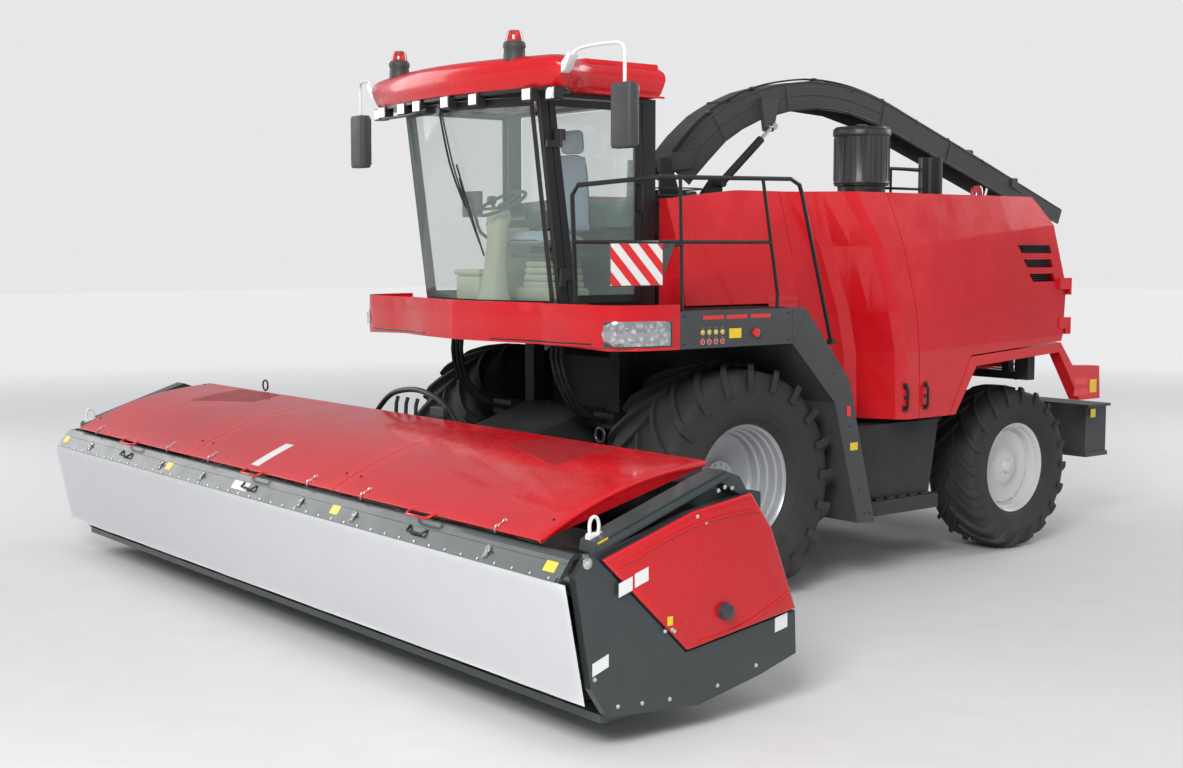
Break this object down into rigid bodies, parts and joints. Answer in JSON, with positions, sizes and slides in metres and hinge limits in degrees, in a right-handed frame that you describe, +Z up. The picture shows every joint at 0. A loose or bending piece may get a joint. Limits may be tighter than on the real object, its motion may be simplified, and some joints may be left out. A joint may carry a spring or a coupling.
{
  "type": "forage harvester",
  "caption": "Self-propelled forage harvester: glazed cab over big front wheels, engine body, swivelling crop spout and a wide covered crop header with a front curtain.",
  "frame": {"origin": "on the ground under the middle of the whole machine, header and spout included", "axes": "+Z up, -Y the driving direction, +X the machine's left"},
  "size_m": [7.38, 9.222, 4.22],
  "materials": {
    "tyre": "matt black rubber",
    "front_rim": "silver-grey paint",
    "rear_rim": "white paint",
    "red_body": "glossy red paint",
    "dark_header": "anthracite paint, satin",
    "grey_panel": "dark grey paint, satin",
    "black_steel": "black paint, satin",
    "chassis": "black chassis paint",
    "cast": "rough casting, painted dark",
    "rod": "polished",
    "glass": "clear, faint green",
    "interior": "textured pale green and blue",
    "curtain": "coated cloth, near white",
    "hose": "black hose"
  },
  "bodies": {
    "chassis": {"chassis_frame": "chassis", "front_axle": "cast", "rear_axle": "cast", "crop_processor": "chassis", "engine_block": "cast", "counterweight": "grey_panel", "front_panel_left": "red_body", "front_panel_right": "red_body", "rear_fender_left": "red_body", "rear_fender_right": "red_body", "body_frame": "chassis", "rear_panel": "red_body", "intake_drum": "black_steel", "exhaust": "black_steel", "deck_rail": "black_steel", "bumper": "red_body", "platform_left": "grey_panel", "platform_right": "grey_panel", "handrails": "black_steel", "cab_frame": "black_steel", "windscreen": "glass", "cab_roof": "red_body", "cab_interior": "interior", "mirror_left": "black_steel", "mirror_right": "black_steel", "hose_bundle": "hose"},
    "front_wheel_left": {"front_left_tyre": "tyre", "front_left_rim": "front_rim"},
    "front_wheel_right": {"front_right_tyre": "tyre", "front_right_rim": "front_rim"},
    "knuckle_left": {"rear_left_knuckle": "cast"},
    "knuckle_right": {"rear_right_knuckle": "cast"},
    "rear_wheel_left": {"rear_left_tyre": "tyre", "rear_left_rim": "rear_rim"},
    "rear_wheel_right": {"rear_right_tyre": "tyre", "rear_right_rim": "rear_rim"},
    "steering_rod": {"steering_rod": "rod"},
    "cab_door": {"cab_door": "black_steel", "cab_door_glass": "glass"},
    "engine_door_front_left": {"engine_door_front_left": "red_body"},
    "engine_door_front_right": {"engine_door_front_right": "red_body"},
    "engine_door_rear_left": {"engine_door_rear_left": "red_body"},
    "engine_door_rear_right": {"engine_door_rear_right": "red_body"},
    "header": {"feeder_house": "chassis", "header_frame": "dark_header", "header_end_left": "dark_header", "header_end_right": "dark_header"},
    "hood_left": {"hood_left": "red_body"},
    "hood_centre": {"hood_centre": "red_body"},
    "hood_right": {"hood_right": "red_body"},
    "guard": {"guard_beam": "dark_header", "curtain": "curtain"},
    "auger": {"header_auger": "dark_header"},
    "lift_barrels": {"lift_barrels": "chassis"},
    "lift_rods": {"lift_rods": "rod"},
    "spout_turret": {"spout_turret": "black_steel"},
    "spout_arm": {"spout_arm": "black_steel"},
    "spout_flap": {"spout_flap": "black_steel"},
    "spout_barrel": {"spout_barrel": "black_steel"},
    "spout_rod": {"spout_rod": "rod"}
  },
  "joints": [
    {"name": "front_left_wheel_spin", "type": "hinge", "parent": "chassis", "child": "front_wheel_left", "pos_m": [1.325, -1.325, 0.915], "axis": [1, 0, 0], "continuous": true},
    {"name": "front_right_wheel_spin", "type": "hinge", "parent": "chassis", "child": "front_wheel_right", "pos_m": [-1.325, -1.325, 0.915], "axis": [1, 0, 0], "continuous": true},
    {"name": "steer_left", "type": "hinge", "parent": "chassis", "child": "knuckle_left", "pos_m": [0.89, 2.175, 0.725], "axis": [0, 0, 1], "range_deg": [-30, 30]},
    {"name": "steer_right", "type": "hinge", "parent": "chassis", "child": "knuckle_right", "pos_m": [-0.89, 2.175, 0.725], "axis": [0, 0, 1], "range_deg": [-30, 30]},
    {"name": "steering_rod_slide", "type": "slide", "parent": "chassis", "child": "steering_rod", "axis": [1, 0, 0], "range_m": [-0.125, 0.125]},
    {"name": "rear_left_wheel_spin", "type": "hinge", "parent": "knuckle_left", "child": "rear_wheel_left", "pos_m": [1.24, 2.175, 0.725], "axis": [1, 0, 0], "continuous": true},
    {"name": "rear_right_wheel_spin", "type": "hinge", "parent": "knuckle_right", "child": "rear_wheel_right", "pos_m": [-1.24, 2.175, 0.725], "axis": [1, 0, 0], "continuous": true},
    {"name": "cab_door_hinge", "type": "hinge", "parent": "chassis", "child": "cab_door", "pos_m": [0.925, -2.525, 3], "axis": [0, 0, -1], "range_deg": [0, 48]},
    {"name": "engine_door_front_left_hinge", "type": "hinge", "parent": "chassis", "child": "engine_door_front_left", "pos_m": [1.234, -0.375, 2], "axis": [0, 0, -1], "range_deg": [0, 60]},
    {"name": "engine_door_front_right_hinge", "type": "hinge", "parent": "chassis", "child": "engine_door_front_right", "pos_m": [-1.234, -0.375, 2], "axis": [0, 0, 1], "range_deg": [0, 60]},
    {"name": "engine_door_rear_left_hinge", "type": "hinge", "parent": "chassis", "child": "engine_door_rear_left", "pos_m": [1.634, 2.653, 2], "axis": [0, 0, 1], "range_deg": [0, 60]},
    {"name": "engine_door_rear_right_hinge", "type": "hinge", "parent": "chassis", "child": "engine_door_rear_right", "pos_m": [-1.634, 2.653, 2], "axis": [0, 0, -1], "range_deg": [0, 60]},
    {"name": "header_lift", "type": "hinge", "parent": "chassis", "child": "header", "pos_m": [0, -1.665, 1.32], "axis": [-1, 0, 0], "range_deg": [-3, 15]},
    {"name": "lift_barrel_hinge", "type": "hinge", "parent": "chassis", "child": "lift_barrels", "pos_m": [0, -1.365, 0.58], "axis": [-1, 0, 0], "range_deg": [-3, 12]},
    {"name": "lift_rod_slide", "type": "slide", "parent": "lift_barrels", "child": "lift_rods", "axis": [0, -0.9984, -0.0565], "range_m": [-0.05, 0.21]},
    {"name": "hood_left_hinge", "type": "hinge", "parent": "header", "child": "hood_left", "pos_m": [2.2, -3.3, 1.4], "axis": [-1, 0, 0], "range_deg": [0, 60]},
    {"name": "hood_centre_hinge", "type": "hinge", "parent": "header", "child": "hood_centre", "pos_m": [0, -3.3, 1.4], "axis": [-1, 0, 0], "range_deg": [0, 60]},
    {"name": "hood_right_hinge", "type": "hinge", "parent": "header", "child": "hood_right", "pos_m": [-2.2, -3.3, 1.4], "axis": [-1, 0, 0], "range_deg": [0, 60]},
    {"name": "guard_hinge", "type": "hinge", "parent": "header", "child": "guard", "pos_m": [0, -4.441, 1.058], "axis": [-1, 0, 0], "range_deg": [0, 45]},
    {"name": "auger_spin", "type": "hinge", "parent": "header", "child": "auger", "pos_m": [0, -3.395, 0.63], "axis": [1, 0, 0], "continuous": true},
    {"name": "spout_turn", "type": "hinge", "parent": "chassis", "child": "spout_turret", "pos_m": [0, -0.725, 3.1], "axis": [0, 0, 1], "range_deg": [-100, 100]},
    {"name": "spout_lift", "type": "hinge", "parent": "spout_turret", "child": "spout_arm", "pos_m": [0, -0.905, 3.36], "axis": [1, 0, 0], "range_deg": [0, 30]},
    {"name": "spout_flap_hinge", "type": "hinge", "parent": "spout_arm", "child": "spout_flap", "pos_m": [0, 3.775, 3.34], "axis": [-1, 0, 0], "range_deg": [0, 45]},
    {"name": "spout_barrel_hinge", "type": "hinge", "parent": "spout_turret", "child": "spout_barrel", "pos_m": [0.235, -0.305, 3.22], "axis": [1, 0, 0], "range_deg": [-1, 38]},
    {"name": "spout_rod_slide", "type": "slide", "parent": "spout_barrel", "child": "spout_rod", "axis": [0, 0.7682, 0.6402], "range_m": [-0.005, 0.31]}
  ],
  "couplings": [
    {"joint": "steer_right", "follows": "steer_left", "ratio": 1},
    {"joint": "steering_rod_slide", "follows": "steer_left", "m_per_rad": 0.23},
    {"joint": "lift_barrel_hinge", "follows": "header_lift", "ratio": 0.725},
    {"joint": "lift_rod_slide", "follows": "header_lift", "m_per_rad": 0.732},
    {"joint": "spout_barrel_hinge", "follows": "spout_lift", "ratio": 1.24},
    {"joint": "spout_rod_slide", "follows": "spout_lift", "m_per_rad": 0.565}
  ]
}
